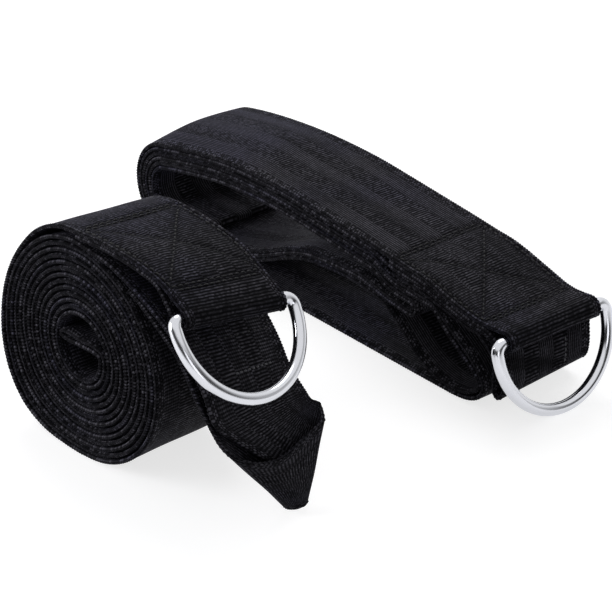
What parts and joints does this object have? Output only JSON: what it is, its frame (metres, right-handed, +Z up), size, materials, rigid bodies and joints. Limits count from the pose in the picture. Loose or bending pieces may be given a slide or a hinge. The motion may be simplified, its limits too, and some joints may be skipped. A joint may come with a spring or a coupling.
{
  "type": "stretching strap",
  "caption": "Pair of sewn webbing straps with a steel D-ring at one end and a half-twisted sewn eye at the other, one rolled up and one folded flat.",
  "frame": {"origin": "middle of the pair's box on the surface the straps rest on", "axes": "+X along the folded strap towards its ring, +Y across the webbing away from the rolled strap, +Z up"},
  "size_m": [0.2415, 0.1966, 0.0954],
  "materials": {
    "webbing": "woven polyester, matt with a slight sheen",
    "thread": "bonded polyester thread",
    "steel": "bright plated"
  },
  "bodies": {
    "folded_strap": {"folded_webbing": "webbing", "folded_box_seam": "thread", "folded_cross_seam": "thread", "folded_end_seams": "thread", "folded_eye_seam": "thread"},
    "folded_ring": {"folded_d_ring": "steel"},
    "rolled_strap": {"rolled_webbing": "webbing", "rolled_box_seam": "thread", "rolled_cross_seam": "thread", "rolled_end_seams": "thread", "rolled_eye_seam": "thread"},
    "rolled_ring": {"rolled_d_ring": "steel"}
  },
  "joints": [
    {"name": "folded_ring_swing", "type": "hinge", "parent": "folded_strap", "child": "folded_ring", "pos_m": [0.109, 0.0672, 0.03461], "axis": [0, -1, 0], "range_deg": [0, 210]},
    {"name": "rolled_strap_lift", "type": "slide", "parent": "folded_strap", "child": "rolled_strap", "axis": [0, 0, 1], "range_m": [0, 0.15]},
    {"name": "rolled_ring_swing", "type": "hinge", "parent": "rolled_strap", "child": "rolled_ring", "pos_m": [0.08296, -0.0669, 0.0764], "axis": [0.0429, -0.9817, 0.1857], "range_deg": [0, 115]}
  ]
}
